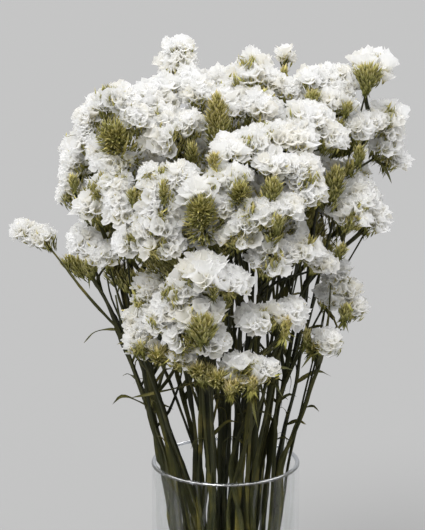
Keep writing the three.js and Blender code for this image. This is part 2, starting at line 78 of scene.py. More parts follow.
# A bract's warmth goes from 0, dull olive, to 1, golden.
OLIVE = (0.0, 0.6)
TAN = (0.1, 0.9)
GOLDEN = (0.4, 1.0)
WARM_TOP = 0.3  # how much warmer a bract is at the top of a brush than halfway
# The spacings of the bracts' tips in a brush.
CONE_BRUSH = 2.4 * MM
CORE_BRUSH = 1.9 * MM
BEHIND_BRUSH = 3.6 * MM
LOBE_BRUSH = 2.8 * MM
RAGGED_BRUSH = 2.6 * MM

GOLDEN_CONES = ("top_middle", "upper_front", "right_low")
LOW_CONES = 330 * MM  # the cones below this are ragged, with longer bracts
HIGH_CONES = 460 * MM  # the cones above this stand clear on a narrow foot
UPRIGHT_LOBE = 0.55  # how strongly a lobe's axis is turned upwards
UPRIGHT_MASS = 0.2  # the same for a ragged mass
UPRIGHT = 2.0  # and for a bare cone
ROSETTES = {"left_rosette": -0.7, "mid_front": -0.35}  # and for the cones that face outwards
ROSETTE_SIZE = 1.2  # the size of those, as a share of the solid's
CORE_SIZE = 0.72  # a cone's inner brush, as a share of the outer one
BEHIND_SIZE = 1.25  # and the brush behind it
BEHIND_BACK = 12 * MM  # how far behind it stands
# Ragged masses of bracts between the lowest heads: x, y, z, half width, half height.
RAGGED = {
    "centre_low": [(-17, -97, 292, 9, 6), (-5, -101, 288, 9, 7)],
    "right_low": [(6, -103, 284, 8, 5)],
    "left_low": [(-42, -83, 298, 9, 7)],
    "right_lower": [(56, -58, 296, 7, 5)],
}

OPEN_SPRAYS = ("left_side", "left_front")  # their calyxes show their throats
UNEVEN = 0.09  # how deep the dents in a lobe are, as a share of its size
BRIDGE_SIZE = 0.88  # a bridge between two lobes, as a share of a lobe
FAN_LIFT = 0.5  # how far a lobe's calyxes turn their backs, not their throats, outwards
COVERED = 0.06  # how little outwards a lobe may point to have calyxes there
INNER_SHARE = 0.78  # of a lobe's distance from the heart, where hidden inner bracts stand
INNER_LOWEST = 350 * MM  # the lowest lobe with hidden inner bracts behind it
INNER_FLOWERS_LOWEST = 402 * MM  # and with hidden inner calyxes
CLEAR_BELOW = ("middle", "right_side")  # sprays without either: their stems show

MOST_TUFTS = 3  # green tufts that show between the calyxes of a lobe
MORE_TUFTS = 2  # so many more on an open lobe or a low one
LOW_LOBES = 345 * MM  # the height below which a lobe is low
SMALL_LOBE = 0.8  # calyx scale up to which a lobe has none but those
TUFTS_LOWEST = 0.2  # how little outwards a lobe may point to have a tuft there
TUFT_BRACTS = 30
TUFT_CLEAR = 5.4 * MM  # the calyxes keep this clear of a tuft

STEM_FOOT = 9.4 * MM  # the height of the stems' cut ends, on the vase's floor
CUT_STEP = 8 * MM  # between the cuts through a CAD stem that find its centre line
CUT_NEAR = 12 * MM  # a cut's points further off are a branch's
STEM_STEP = 5 * MM  # between two rings of a stem
TWIG_STEP = 1.4 * STEM_STEP
WINGS = 3
WING_SIDES = 12  # points round a stem's winged section
BRANCH_SIDES = 9
TWIG_SIDES = 6
# Radii without the wings, at the foot and the tip, in millimetres.
STEM_FEET = (0.65, 1.3)
STEM_TIP = 0.6
BRANCH_RADII = (0.75, 0.4)
STEM_SWAY = 4.5 * MM
STEMS_WIDEST = 46.4 * MM  # from the axis, inside the vase
FORK_ANGLES = (30, 48)  # in degrees
FORK_SHORTNESS = 350  # degrees of a branch's fork that a metre of its length is worth
# A spray starts to branch at these shares of its middle, and this far below it.
HUB_DRAW = np.array([0.64, 0.5, 1.0])
HUB_DROP = 56 * MM
# Where the stems that stand apart from the rest start to branch.
HUBS = {
    "far_left": (-68, -12, 290), "left_side": (-62, -24, 312), "left_rosette": (-64, -6, 335),
    "back_left": (-64, 16, 330), "left_low": (-46, -36, 262), "back_low_left": (-42, 37, 299),
    "right_lower": (58, -20, 266),
}
SIDE_SHOOTS = 1  # thinner shoots beside each stem
# The sprays with another number of them.
THICKETS = {"left_low": 2, "centre_low": 3, "centre_dome": 2, "right_low": 3, "middle": 2,
            "right_lower": 2, "back_left": 0}
SHOOTS_LOW = 16 * MM  # the side shoots' widest at the vase's foot
SHOOTS_HIGH = 43 * MM  # and at its mouth
WISPS = 3  # thin twigs that lean across from each stem

LEAF_LOWEST = 222 * MM  # the short leaves keep clear of the glass
LEAF_WIDTH = 3.4 * MM  # of the long leaves
BLADE_STEP = 3 * MM
CURLS_LOWEST = 214 * MM  # the heights between which the stems have loose curls
CURLS_HIGHEST = 300 * MM
RIM_CURLS = 2  # loose curls on each stem

LENS = 150.8
CAMERA_PLACE = (-0.008784, -1.426182, 0.683003)
CAMERA_DOWN = 13.7  # degrees
KEY_ENERGY = 2.45
KEY_WIDTH = 28  # degrees
KEY_TURN = (38, -20, 0)  # degrees
SOFTBOX = 4.5  # how bright the softbox overhead looks in the glass
FLOOR_GREY = 0.336

# One entry per cut stem: its heads, each a list of lobes that hold together, and its bare
# cones of bracts. A lobe or cone is x, y, z, half width, half height in millimetres.
SPRAYS = {
    "top_left": (
        [[(-30, 0, 480, 13, 9), (-31, -7, 463, 14, 13), (-44, -22, 447, 16, 14),
          (-38, -40, 428, 17, 14), (-18, -26, 453, 12, 12), (-23, -42, 436, 11, 13)]],
        [(-22, -51, 421, 6, 8)]),
    "left_rosette": (
        [[(-69, -30, 453, 14, 10), (-87, -22, 438, 11, 11), (-89, -26, 423, 11, 11),
          (-57, -40, 440, 12, 12), (-72, -44, 413, 13, 9)]],
        [(-71, -45, 429, 10, 11)]),
    "top_middle": (
        [[(0, -20, 441, 17, 19), (17, -9, 463, 15, 15), (23, -30, 446, 14, 13),
          (40, -12, 453, 12, 10)],
         [(39, 8, 473, 8, 9)]],
        [(-6, -46, 443, 9, 16), (38, 2, 463, 4, 6)]),
    "top_right": (
        [[(57, -12, 461, 13, 11), (74, -8, 460, 13, 12), (68, -24, 447, 13, 10)]],
        [(55, -33, 454, 7, 5), (77, -31, 446, 6, 5)]),
    "far_right": (
        [[(93, -4, 468, 16, 13)],
         [(102, -8, 435, 15, 12), (84, -22, 430, 13, 12), (103, -5, 416, 14, 11),
          (110, 1, 405, 12, 8)]],
        [(90, -25, 464, 12, 11), (85, -34, 417, 6, 6)]),
    "upper_front": (
        [[(50, -42, 443, 15, 12), (45, -57, 429, 14, 11), (66, -48, 429, 13, 11),
          (24, -58, 432, 14, 11), (3, -68, 425, 15, 11)]],
        [(-8, -82, 422, 6, 6)]),
    "left_side": (
        [[(-96, -15, 408, 12, 12), (-101, -12, 387, 13, 13)],
         [(-71, -54, 403, 14, 11), (-84, -49, 386, 15, 13), (-65, -65, 386, 13, 13)]],
        [(-98, -31, 398, 5, 6), (-58, -74, 398, 6, 6)]),
    "left_front": (
        [[(-46, -70, 408, 12, 12), (-29, -76, 408, 12, 13), (-41, -80, 389, 15, 13),
          (-57, -73, 369, 14, 13), (-38, -84, 369, 15, 12)]],
        [(-39, -91, 404, 5, 9)]),
    "mid_front": (
        [[(-15, -84, 403, 17, 11), (-2, -90, 394, 9, 10), (2, -78, 411, 15, 10)]],
        [(-16, -101, 394, 9, 10), (8, -95, 404, 7, 8)]),
    "right_front": (
        [[(28, -74, 416, 13, 10), (46, -70, 415, 13, 10), (49, -74, 399, 15, 12)]],
        [(28, -90, 406, 8, 8)]),
    "middle": (
        [[(17, -92, 389, 14, 11), (34, -86, 393, 13, 11), (6, -92, 376, 14, 11)],
         [(26, -84, 360, 15, 15), (47, -75, 365, 14, 11), (59, -64, 353, 11, 10)]],
        [(31, -101, 387, 6, 6)]),
    "right_side": (
        [[(84, -26, 390, 13, 13), (79, -41, 377, 14, 12), (95, -25, 373, 13, 13)]],
        [(69, -50, 402, 8, 12), (73, -52, 358, 6, 5)]),
    "right_lower": (
        [[(72, -30, 337, 11, 12), (82, -28, 314, 12, 11), (66, -33, 322, 11, 10)],
         [(64, -55, 298, 12, 11)]],
        [(77, -44, 315, 6, 6), (51, -62, 303, 5, 6)]),
    "far_left": (
        [[(-133, -1, 360, 10, 9), (-120, -4, 355, 12, 9)],
         [(-91, -35, 359, 13, 11), (-77, -45, 353, 12, 11)]],
        [(-87, -47, 346, 6, 8)]),
    "centre_dome": (
        [[(-15, -101, 356, 18, 13), (2, -98, 348, 14, 12), (-30, -94, 338, 14, 13),
          (-41, -89, 322, 12, 11)]],
        [(-8, -114, 347, 5, 6)]),
    "centre_low": (
        [[(-17, -96, 329, 19, 12), (-27, -95, 313, 12, 11), (-9, -98, 311, 13, 11),
          (-29, -91, 297, 10, 10)]],
        [(-15, -115, 324, 11, 10), (-14, -96, 289, 9, 7)]),
    "left_low": (
        [[(-48, -62, 334, 12, 12), (-54, -66, 316, 12, 11), (-54, -73, 301, 12, 10)]],
        [(-54, -84, 303, 5, 5)]),
    "right_low": (
        [[(20, -84, 322, 15, 11), (40, -76, 323, 13, 11)],
         [(9, -94, 293, 14, 11), (22, -91, 289, 11, 10)]],
        [(37, -90, 317, 5, 9), (2, -106, 283, 6, 6), (16, -104, 285, 5, 6)]),
    "back_top": (
        [[(-12, 24, 446, 18, 14), (15, 28, 455, 17, 15), (4, 48, 438, 18, 15)]],
        []),
    "back_left": (
        [[(-80, 30, 428, 18, 16), (-95, 28, 404, 16, 15), (-84, 54, 402, 17, 16)]],
        [(-90, 62, 422, 7, 8)]),
    "back_right": (
        [[(66, 36, 440, 18, 16), (86, 28, 420, 16, 16), (80, 56, 412, 17, 16)]],
        [(84, 66, 432, 7, 8)]),
    "back_middle": (
        [[(-22, 80, 412, 19, 16), (8, 86, 408, 18, 16), (34, 76, 418, 18, 16)]],
        [(-8, 104, 400, 7, 8)]),
    "back_low_left": (
        [[(-70, 70, 370, 19, 17), (-84, 52, 350, 17, 15), (-46, 86, 354, 18, 17)]],
        [(-64, 88, 346, 7, 8)]),
    "back_low_right": (
        [[(68, 74, 376, 19, 17), (82, 56, 356, 17, 15), (44, 88, 362, 18, 17)]],
        [(62, 90, 352, 7, 8)]),
    "back_low": (
        [[(-8, 98, 364, 18, 16), (12, 98, 340, 17, 15), (-10, 92, 322, 16, 14)]],
        [(0, 112, 330, 7, 7)]),
}

# Long leaves that curl away from a stem, by the points that the blade follows.
LEAVES = {
    "left_low": [(-16, -41, 268), (-36, -40, 262), (-50, -35, 257), (-62, -30, 253)],
    "far_left": [(-50, -10, 240), (-60, -14, 247), (-69, -17, 250), (-75, -19, 245)],
}


# ---- vectors

def unit(v):
    """v at length one. Works on one vector or on rows of them."""
    v = np.asarray(v, float)
    return v / np.maximum(norm(v, axis=-1, keepdims=True), 1e-12)


def square_frames(normals, rolls):
    """Rows of rotation matrices whose third column is each normal, turned by each roll."""
    normals = unit(normals)
    helper = np.where(np.abs(normals[:, 2:3]) < 0.9, [[0.0, 0.0, 1.0]], [[1.0, 0.0, 0.0]])
    side = unit(np.cross(helper, normals))
    other = np.cross(normals, side)
    c = np.cos(rolls)[:, None]
    s = np.sin(rolls)[:, None]
    return np.stack([side * c + other * s, other * c - side * s, normals], axis=2)


def golden_directions(count, pole, rng, jitter):
    """Directions spread evenly over a sphere, the first nearest to the pole."""
    height = 1 - (2 * np.arange(count) + 1) / count
    radius = np.sqrt(1 - height ** 2)
    angle = rng.uniform(0, 2 * math.pi) + math.pi * (3 - math.sqrt(5)) * np.arange(count)
    local = np.stack([radius * np.cos(angle), radius * np.sin(angle), height], axis=1)
    local += rng.normal(0, jitter / math.sqrt(count), local.shape)
    turn = square_frames(np.array([pole]), np.zeros(1))[0]
    return unit(local @ turn.T)


def smooth_route(points, step):
    """A Catmull-Rom curve through the points, with a point about every step."""
    points = np.asarray(points, float)
    ends = [2 * points[0] - points[1], *points, 2 * points[-1] - points[-2]]
    route = []
    for a, b, c, d in zip(ends, ends[1:], ends[2:], ends[3:]):
        parts = max(1, round(norm(c - b) / step))
        for t in np.arange(parts) / parts:
            route.append(0.5 * (2 * b + (c - a) * t + (2 * a - 5 * b + 4 * c - d) * t ** 2
                                + (3 * b - a - 3 * c + d) * t ** 3))
    route.append(points[-1])
    return np.array(route)


# ---- meshes

def add_object(name, data):
    obj = bpy.data.objects.new(name, data)
    bpy.context.scene.collection.objects.link(obj)
    return obj


class Bundle:
    """Gathers many small shapes into one mesh. Every point carries a tone: how far it is
    from its shape's root to its tip, a random number of its own shape, and its fold. A face
    with three points has -1 for its fourth."""

    def __init__(self):
        self.points = []
        self.faces = []
        self.tones = []
        self.caps = []
        self.count = 0

    def add(self, points, faces, tones):
        faces = np.asarray(faces)
        self.faces.append(np.where(faces < 0, -1, faces + self.count))
        self.points.append(np.reshape(points, (-1, 3)))
        self.tones.append(np.reshape(tones, (-1, 3)))
        self.count += len(self.points[-1])

    def add_tube(self, points, sides, tones):
        """A tube of rings of points that follow one another, closed at both ends."""
        first = self.count
        self.add(points, ring_faces(len(points) // sides, sides), tones)
        self.caps.append([first + k for k in reversed(range(sides))])
        self.caps.append([self.count - sides + k for k in range(sides)])

    def to_object(self, name, material):
        mesh = bpy.data.meshes.new(name)
        faces = [tuple(int(i) for i in face if i >= 0) for block in self.faces for face in block]
        mesh.from_pydata(np.concatenate(self.points).tolist(), [], faces + self.caps)
        tones = np.concatenate(self.tones)
        layer = mesh.attributes.new("tone", "FLOAT_COLOR", "POINT")
        colours = np.concatenate([tones, np.ones((len(tones), 1))], axis=1)
        layer.data.foreach_set("color", colours.astype(np.float32).ravel())
        mesh.polygons.foreach_set("use_smooth", [True] * len(mesh.polygons))
        mesh.materials.append(material)
        mesh.update()
        return add_object(name, mesh)


def ring_faces(rings, sides):
    """Quads between rings of points that follow one another round a closed tube."""
    faces = []
    for i in range(rings - 1):
        for k in range(sides):
            a = i * sides + k
            b = i * sides + (k + 1) % sides
            faces.append((a, b, b + sides, a + sides))
    return faces


# ---- calyxes and bracts

def calyx_template(rng):
    """A pleated funnel with five lobes and a frayed, papery rim, and a tuft of dry petals in
    its throat. Its root is at the origin and its mouth a calyx's length up."""
    openness = rng.uniform(0.78, 1.12)
    side = np.arange(CALYX_SIDES)
    angle = side / CALYX_SIDES * 2 * math.pi
    pleat = np.where(side % 2 == 0, 1.0, -1.0)
    phase = rng.uniform(0, 2 * math.pi, 3)
    fray = rng.normal(0, 1, CALYX_SIDES)
    lean = rng.uniform(0.2, 1.2)
    points = [[[0, 0, 0]]]
    tones = [[[0, 0.5]]]
    for height, radius in CALYX_WALL:
        flare = height ** 2
        crumple = rng.normal(0, 0.03 * height, CALYX_SIDES)
        lobes = 1 + flare * (0.05 * np.cos(5 * angle + phase[0]) + 0.06 * pleat
                             + 0.03 * fray) + crumple
        rise = flare ** 2 * MM * (0.35 * np.cos(5 * angle + phase[0]) + 0.38 * pleat
                                  + 0.42 * fray + lean * np.cos(angle + phase[1])
                                  + 0.6 * np.cos(2 * angle + phase[2]))
        across = radius * (1 + (openness - 1) * height) * lobes
        points.append(np.stack([across * np.cos(angle), across * np.sin(angle),
                                height * CALYX_LENGTH + rise], axis=1))
        tones.append(np.stack([np.full(CALYX_SIDES, height), 0.5 + 0.5 * pleat], axis=1))
    points.append([[0, 0, rng.uniform(0.5, 0.72) * CALYX_LENGTH]])
    tones.append([[0.45, 0.5]])
    middle = 1 + len(CALYX_WALL) * CALYX_SIDES
    faces = [*(np.array(ring_faces(len(CALYX_WALL), CALYX_SIDES)) + 1)]
    for k in range(1, CALYX_SIDES + 1):
        onward = k % CALYX_SIDES + 1
        faces += [(0, onward, k, -1), (k, onward, middle, -1)]
    return np.concatenate(points), np.array(faces), np.concatenate(tones)


def bract_template(rng, width, most_bend):
    """A pointed, folded blade, widest below its middle. Its root is at the origin."""
    bend = rng.uniform(0.3, 1.0) * most_bend * BRACT_LENGTH
    half = width / 2
    middle = 0.42 * BRACT_LENGTH
    points = [(0, 0, 0), (-half, 0.2 * bend, middle), (0, 0.2 * bend - 0.6 * half, middle),
              (half, 0.2 * bend, middle), (0, bend, BRACT_LENGTH)]
    faces = [(0, 2, 1, -1), (0, 3, 2, -1), (1, 2, 4, -1), (2, 3, 4, -1)]
    tones = [(0, 0), (0.45, 0), (0.45, 1), (0.45, 0), (1, 0.5)]
    return np.array(points), np.array(faces), np.array(tones)


rng_shapes = np.random.default_rng(77)
CALYXES = [calyx_template(rng_shapes) for _ in range(CALYX_KINDS)]
BRACTS = [bract_template(rng_shapes, BRACT_WIDTH, 0.14) for _ in range(BRACT_KINDS)]
CONE_BRACTS = [bract_template(rng_shapes, CONE_BRACT_WIDTH, 0.3) for _ in range(BRACT_KINDS)]


# ---- lobes and cones

class Blob:
    """A lobe of calyxes, a bare cone or a ragged mass: an uneven ellipsoid and the way it
    faces."""

    def __init__(self, centre, size, hub, upright, spray):
        self.centre = centre
        self.size = size
        self.hub = hub
        self.upright = upright
        self.spray = spray
        self.facing = unit(centre - HEART)
        self.axis = unit(0.7 * unit(centre - hub) + 0.3 * self.facing + [0, 0, upright])
        self.base = centre - self.axis * size[2] * 1.25
        rng = np.random.default_rng([int(abs(v) * 1e5) for v in centre])
        self.dents = unit(rng.normal(0, 1, (3, 3))) * rng.uniform(2, 5, (3, 1))
        self.dent_starts = rng.uniform(0, 2 * math.pi, 3)
        self.is_bridge = False

    def moved(self, centre, share):
        """The same kind of blob at another place, its size at a share."""
        return Blob(centre, self.size * share, self.hub, self.upright, self.spray)

    def depth(self, points):
        """How far out points are: under 1 inside the ellipsoid, 1 on it."""
        return norm((points - self.centre) / self.size, axis=1)

    def surface(self, directions, share):
        """Points of the uneven surface, at a share of the size."""
        waves = np.sin(directions @ self.dents.T + self.dent_starts).sum(axis=1)
        return self.centre + directions * self.size * share * (1 + UNEVEN * waves)[:, None]

    def normals(self, directions):
        return unit(directions / self.size)

    def outwardness(self, directions):
        """How far directions from the centre point up and outwards, up to about 0.9."""
        return 0.6 * directions @ self.facing + 0.7 * directions @ self.axis

    def count(self, spacing):
        """How many shapes at that spacing cover the ellipsoid, packed in hexagons."""
        mean = np.cbrt(np.prod(self.size))
        return max(6, int(4 * math.pi * mean ** 2 / (0.866 * spacing ** 2)))

    def neighbours(self, blobs):
        """The other blobs that may touch it."""
        return [other for other in blobs if other is not self
                and norm(other.centre - self.centre) < NEIGHBOURS]


def blob_of(row, hub, spray, upright, inset=0.0):
    """The lobe or cone that a row of SPRAYS or RAGGED gives, drawn in by an inset."""
    size = np.array([row[3], row[3], row[4]]) * MM - inset
    return Blob(np.array(row[:3]) * MM, size, hub, upright, spray)


def with_bridges(lobes):
    """The lobes of a head and, between each and its nearest earlier one, one that links them."""
    linked = list(lobes)
    for index, lobe in enumerate(lobes[1:], 1):
        nearest = min(lobes[:index], key=lambda other: norm(other.centre - lobe.centre))
        middle = 0.5 * (lobe.centre + nearest.centre)
        bridge = lobe.moved(middle + lobe.facing * MM, BRIDGE_SIZE)
        bridge.is_bridge = True
        linked.append(bridge)
    return linked


def is_free(points, blobs, share):
    """Which points lie outside every blob drawn at a share of its size."""
    free = np.ones(len(points), bool)
    for blob in blobs:
        free &= blob.depth(points) > share
    return free


def keep(mask, *arrays):
    return [array[mask] for array in arrays]


# ---- calyxes and bracts on them

def scatter(bundle, templates, places, normals, sizes, own, rng, squash, roll=math.pi):
    """Puts a copy of a random template at each place, its own z along the normal. Own holds
    their random numbers. Squash bounds how unevenly they are scaled, roll how far turned."""
    kinds = rng.integers(0, len(templates), len(places))
    rolls = rng.uniform(-roll, roll, len(places))
    for kind, (shape, faces, look) in enumerate(templates):
        chosen = np.flatnonzero(kinds == kind)
        each = (len(chosen), len(shape))
        turns = square_frames(normals[chosen], rolls[chosen])
        scale = sizes[chosen, None] * (1 + rng.uniform(-squash, squash, (len(chosen), 3)))
        points = np.einsum("nij,nvj->nvi", turns, shape * scale[:, None]) + places[chosen, None]
        number = np.broadcast_to(own[chosen, None], each)
        reach, fold = np.broadcast_to(look.T[:, None], (2, *each))
        offsets = (np.arange(len(chosen)) * len(shape))[:, None, None]
        copies = np.where(faces < 0, -1, faces + offsets)
        bundle.add(points, copies.reshape(-1, 4), np.stack([reach, number, fold], axis=2))


def fan_root(lobe, cones):
    """Where a lobe's calyxes spread from: the foot of the cone it rings, or its own."""
    for cone in cones:
        reach = lobe.size[0] + cone.size[0]
        if cone.spray == lobe.spray and norm(cone.centre - lobe.centre) < reach:
            return 0.5 * (cone.base + lobe.base)
    return lobe.base


def calyx_lobe(papers, greens, blob, others, cones, rng, is_open, spacing=CALYX_SPACING):
    """Covers the upper and outer side of a lobe with calyxes that spread from its foot, round
    a few tufts of bracts. An open lobe turns their throats outwards."""
    size = np.clip(blob.size[0] / USUAL_LOBE, *CALYX_SCALES)
    count = blob.count(spacing * size)
    directions = golden_directions(count, blob.facing, rng, 0.5)
    covered = blob.outwardness(directions) + rng.normal(0, 0.12, count) > COVERED
    directions = directions[covered]
    tuft_count = rng.integers(1, MOST_TUFTS + 1) if size > SMALL_LOBE else 0
    tuft_count += MORE_TUFTS if is_open or blob.centre[2] < LOW_LOBES else 0
    spots = unit(blob.facing - 0.5 * blob.axis + rng.normal(0, 0.6, (tuft_count, 3)))
    spots = spots[blob.outwardness(spots) > TUFTS_LOWEST]
    mouths = blob.surface(directions, 1 + rng.normal(0, 0.07, len(directions))[:, None])
    tufts = blob.surface(spots, 0.95)
    free = is_free(mouths, others, 0.8) & is_free(mouths, cones, 0.95)
    for tuft in tufts:
        free &= norm(mouths - tuft, axis=1) > TUFT_CLEAR
    directions, mouths = keep(free, directions, mouths)
    spread = unit(mouths - fan_root(blob, cones))
    lift = 0.0 if is_open else FAN_LIFT
    spread -= lift * (spread @ blob.facing)[:, None] * blob.facing
    wobble = rng.normal(0, 0.2, directions.shape)
    normals = unit(spread + lift * 0.5 * blob.axis
                   + (1.0 if is_open else 0.1) * blob.normals(directions) + wobble)
    sizes = size * rng.uniform(0.78, 1.15, len(mouths))
    places = mouths - normals * (CALYX_LENGTH * sizes)[:, None]
    count = len(mouths)
    scatter(papers, CALYXES, places, normals, sizes, rng.uniform(0, 1, count), rng, 0.16)
    roots = places + rng.normal(0, 1.2 * MM, mouths.shape)
    tilt = unit(normals + rng.normal(0, 0.25, normals.shape))
    scatter(greens, BRACTS, roots, tilt, rng.uniform(0.7, 1.0, count),
            rng.uniform(*GOLDEN, count), rng, 0.1)
    bract_tufts(greens, blob, spots, tufts, others, rng)


def bract_tufts(greens, blob, spots, tufts, others, rng):
    """Small tufts of bracts that come out between the calyxes of a lobe."""
    which = np.repeat(np.arange(len(spots)), TUFT_BRACTS)
    wobble = rng.normal(0, 0.5, (len(which), 3))
    normals = unit(blob.normals(spots)[which] + 0.5 * blob.axis + wobble)
    sizes = rng.uniform(0.7, 1.25, len(which))
    tips = tufts[which] + rng.normal(0, 1.7 * MM, (len(which), 3))
    roots = tips - normals * (BRACT_LENGTH * sizes)[:, None]
    roots, normals, sizes = keep(is_free(tips, others, 0.85), roots, normals, sizes)
    own = rng.uniform(*TAN, len(roots))
    scatter(greens, CONE_BRACTS, roots, normals, sizes, own, rng, 0.15, 0.6)


def cone_bracts(greens, cone, name, lobes, rng):
    """A bare cone: an outer and an inner brush, and a sparser one behind it inside the bunch."""
    height = cone.centre[2]
    foot = 0.15 if height > HIGH_CONES else 0.45
    longest = 1.9 if height < LOW_CONES else 1.3
    warmth = GOLDEN if name in GOLDEN_CONES else OLIVE
    if name in ROSETTES:
        foot = 0.6
        cone = cone.moved(cone.centre, ROSETTE_SIZE)
    core = cone.moved(cone.centre, CORE_SIZE)
    bract_brush(greens, cone, CONE_BRUSH, -0.7, 1.0, [], rng, 1.3, longest, CONE_BRACTS, warmth, foot)
    bract_brush(greens, core, CORE_BRUSH, -0.9, 1.0, [], rng, 1.0, longest, BRACTS, warmth, foot)
    if INNER_LOWEST < height < HIGH_CONES:
        behind = cone.moved(cone.centre - cone.facing * BEHIND_BACK, BEHIND_SIZE)
        bract_brush(greens, behind, BEHIND_BRUSH, -0.2, 1.0, cone.neighbours(lobes), rng, 1.0, 2.2)


def ragged_mass(greens, mass, rng):
    """Bracts that stand out unevenly all round a mass between the lowest heads."""
    bract_brush(greens, mass, RAGGED_BRUSH, -0.9, 1.0, [], rng, 1.5, 2.2, CONE_BRACTS)
    bract_brush(greens, mass, LOBE_BRUSH, -0.9, 1.0, [], rng, 0.9, 2.6, BRACTS, TAN)


def bract_brush(greens, blob, spacing, low, high, others, rng, spread=0.75, longest=1.35,
                kinds=BRACTS, warmth=OLIVE, foot=0.45):
    """Bracts that point up and outwards all over a blob like the bristles of a brush, with
    their tips on it, warmer towards its top. Low and high bound where they are along the
    axis, as cosines. Spread is how far they lean out, longest the scale of the longest, and
    foot the width of the brush's foot."""
    directions = golden_directions(blob.count(spacing), blob.axis, rng, 0.6)
    along = directions @ blob.axis
    directions, along = keep((along > low) & (along < high), directions, along)
    count = len(directions)
    aside = directions - along[:, None] * blob.axis
    narrow = np.clip(foot + 0.6 * (along + 1), 0, 1)[:, None]
    shaped = along[:, None] * blob.axis + aside * narrow
    tips = blob.centre + shaped * blob.size * rng.uniform(0.84, 1.14, count)[:, None]
    normals = unit(blob.axis + spread * aside + rng.normal(0, 0.2, (count, 3)))
    sizes = rng.uniform(0.8, longest, count)
    own = rng.uniform(*warmth, count) + WARM_TOP * along
    roots = tips - normals * (BRACT_LENGTH * sizes)[:, None]
    roots, normals, sizes, own = keep(is_free(tips, others, 0.85), roots, normals, sizes, own)
    scatter(greens, kinds, roots, normals, sizes, own, rng, 0.15, 0.5)


# ---- stems, branches and leaves

rng_curls = np.random.default_rng(5)


def winged_tube(greens, route, radii, rng, wing_height, sides=WING_SIDES):
    """A ridged stem with thin wings that ripple along it, closed at both ends. The wings'
    height is a share of its radius."""
    count = len(route)
    along = unit(np.gradient(route, axis=0))
    first = unit(np.cross(along[0], [0.31, 0.95, 0.05]))
    angle = np.arange(sides) / sides * 2 * math.pi
    spin = rng.uniform(0, 2 * math.pi)
    twist = rng.uniform(-6, 6)
    length = np.concatenate([[0], np.cumsum(norm(np.diff(route, axis=0), axis=1))])
    ripple = rng.uniform(0, 2 * math.pi, (WINGS, 2))
    crest = [round(wing * sides / WINGS) for wing in range(WINGS)]
    points = []
    for i in range(count):
        side = unit(first - along[i] * (first @ along[i]))
        other = np.cross(along[i], side)
        first = side
        around = angle + spin + twist * length[i]
        profile = 1 + 0.06 * np.cos(angle * WINGS)
        wave = 1 + 0.4 * np.sin(110 * length[i] + ripple[:, 0])
        wave += 0.3 * np.sin(47 * length[i] + ripple[:, 1])
        profile[crest] += wing_height * wave * rng.uniform(0.75, 1.2, WINGS)
        offset = radii[i] * profile
        points.append(route[i] + side * (offset * np.cos(around))[:, None]
                      + other * (offset * np.sin(around))[:, None])
    tone = rng.uniform(0, 1)
    body = inside_glass(np.concatenate(points))
    # The wings' crests: the stem material paints them paler, a painted highlight.
    painted_highlight_crest = np.tile(np.isin(np.arange(sides), crest), count)
    reach = np.repeat(length / length[-1], sides)
    tones = np.stack([reach, np.full(count * sides, tone), painted_highlight_crest], axis=1)
    greens.add_tube(body, sides, tones)


def leaf_blade(greens, route, width, rng):
    """A thin dry blade along a route, folded and curled, pointed at its tip."""
    route = smooth_route(route, BLADE_STEP)
    count = len(route)
    along = unit(np.gradient(route, axis=0))
    points = []
    for i in range(count):
        t = i / (count - 1)
        half = width / 2 * (1 - t ** 3) * min(1, 0.55 + 2 * t) + 0.1 * MM
        side = unit(np.cross(along[i], [0.2, -0.6, 0.75]))
        up = np.cross(side, along[i])
        turn = 0.9 * math.sin(5 * t + width * 900)
        across = side * math.cos(turn) + up * math.sin(turn)
        fold = np.cross(along[i], across) * half * 0.5
        points += [route[i] - across * half, route[i] + fold, route[i] + across * half]
    faces = [(a, a + 1, a + 4, a + 3) for i in range(count - 1) for a in (3 * i, 3 * i + 1)]
    reach = np.repeat(np.linspace(0.2, 1, count), 3)
    # The fold line: the stem material paints it paler, a painted highlight.
    fold = np.tile([0.0, 1.0, 0.0], count)
    tone = np.full(3 * count, rng.uniform(0.6, 1))
    greens.add(points, faces, np.stack([reach, tone, fold], axis=1))


def stem_centres(node, top):
    """The centre line of a CAD stem from its foot up to a height, from its solid's edges."""
    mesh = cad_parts[node].data
    spots = np.array([v.co for v in mesh.vertices])
    edges = spots[np.array([e.vertices for e in mesh.edges])]
    low = edges[:, :, 2].min(axis=1)
    high = edges[:, :, 2].max(axis=1)
    line = []
    for z in np.arange(STEM_FOOT + MM, top, CUT_STEP):
        crossing = edges[(low < z) & (high > z)]
        share = (z - crossing[:, 0, 2]) / (crossing[:, 1, 2] - crossing[:, 0, 2])
        cut = crossing[:, 0] + (crossing[:, 1] - crossing[:, 0]) * share[:, None]
        if line:
            cut = cut[norm(cut - line[-1], axis=1) < CUT_NEAR]
        if not len(cut):
            break
        line.append((cut.max(axis=0) + cut.min(axis=0)) / 2)
    return np.array(line)


